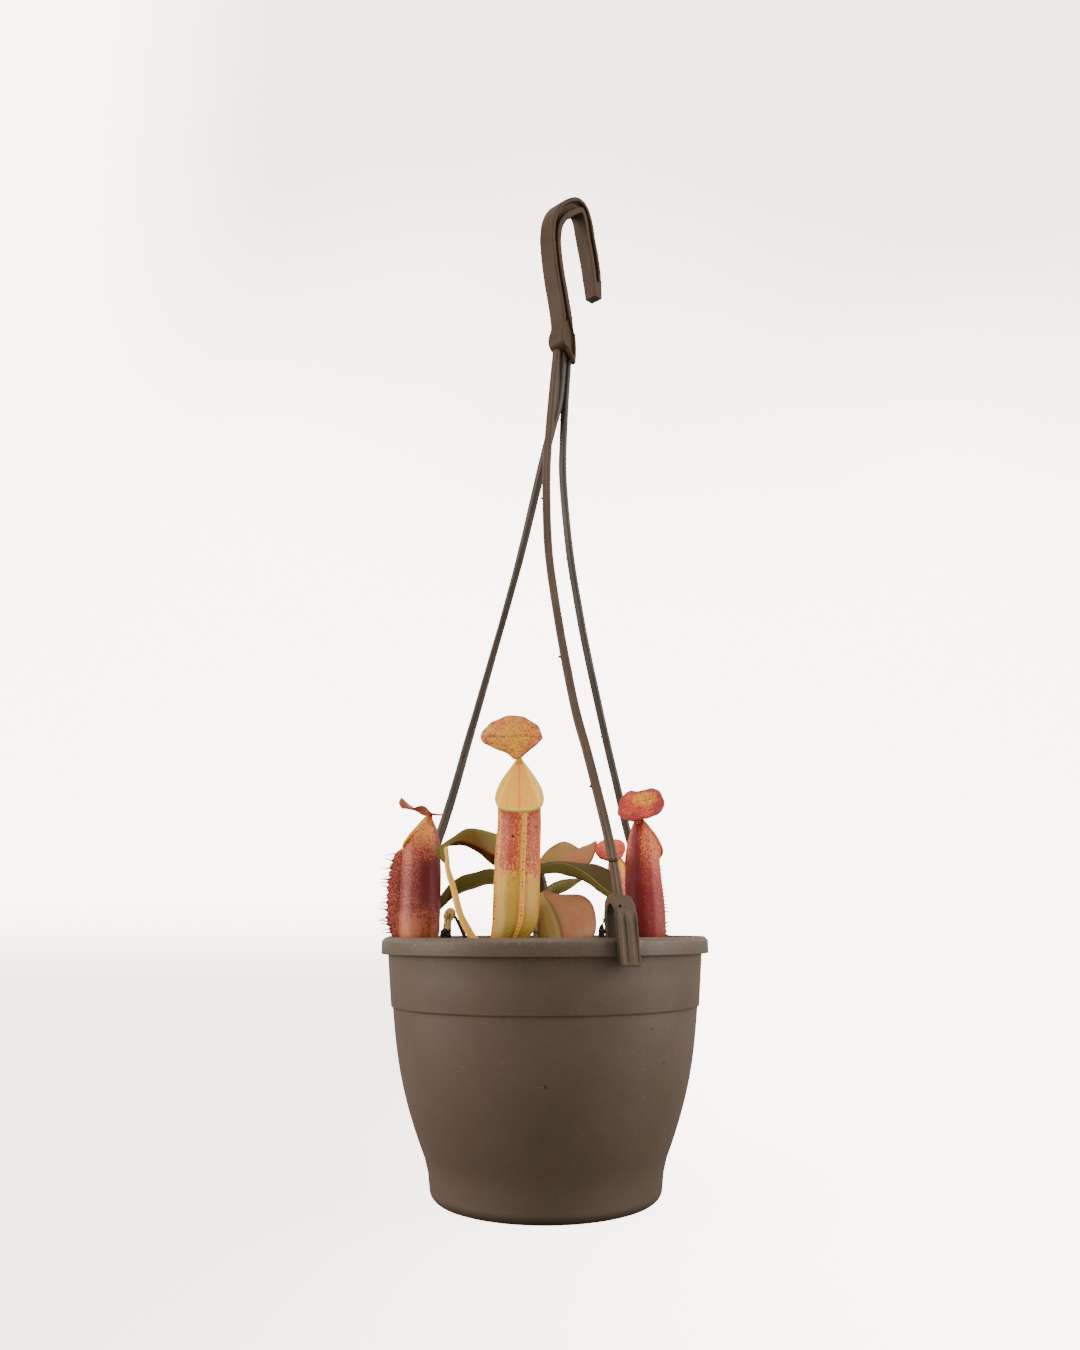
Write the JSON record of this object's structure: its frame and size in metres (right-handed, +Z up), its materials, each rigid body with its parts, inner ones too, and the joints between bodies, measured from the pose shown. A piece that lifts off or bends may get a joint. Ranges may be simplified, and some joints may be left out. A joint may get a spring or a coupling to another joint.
{
  "type": "hanging pitcher plant",
  "caption": "Carnivorous pitcher plant in a tapered plastic pot filled with soil, with a moulded three-strand hanger that ends in a flat-sided hook.",
  "frame": {"origin": "centre of the underside of the pot", "axes": "+Z up, from the pot to the hook; -Y is the side that the front pitcher faces, and +X is to the right as seen from there"},
  "size_m": [0.15, 0.15, 0.5121],
  "materials": {
    "pot_plastic": "satin moulded plastic, taupe brown",
    "hanger_plastic": "satin moulded plastic, taupe brown",
    "soil": "dark damp peat and bark crumbs",
    "leaf_green": "waxy olive green leaf",
    "leaf_blush": "waxy leaf, orange and pink",
    "stem_brown": "brown leafy stem",
    "pitcher_gold": "waxy, gold with pink patches",
    "pitcher_red": "waxy, crimson with speckles",
    "dry_husk": "dry tan husk"
  },
  "bodies": {
    "root": {"pot": "pot_plastic", "soil": "soil", "hanger_hook": "hanger_plastic", "hanger_strand_front": "hanger_plastic", "hanger_strand_left": "hanger_plastic", "hanger_strand_right": "hanger_plastic", "hanger_clip_front": "hanger_plastic", "hanger_clip_left": "hanger_plastic", "hanger_clip_right": "hanger_plastic", "plant_stem": "stem_brown", "leaf_arch_left": "leaf_green", "leaf_low_left": "leaf_green", "leaf_arch_right": "leaf_green", "leaf_under_right": "leaf_green", "leaf_back_right": "leaf_blush", "leaf_low_right": "leaf_blush", "pitcher_front": "pitcher_gold", "pitcher_left": "pitcher_red", "pitcher_right": "pitcher_red", "pitcher_small": "pitcher_red", "dry_sprig": "dry_husk", "dead_bud": "soil"}
  },
  "joints": []
}
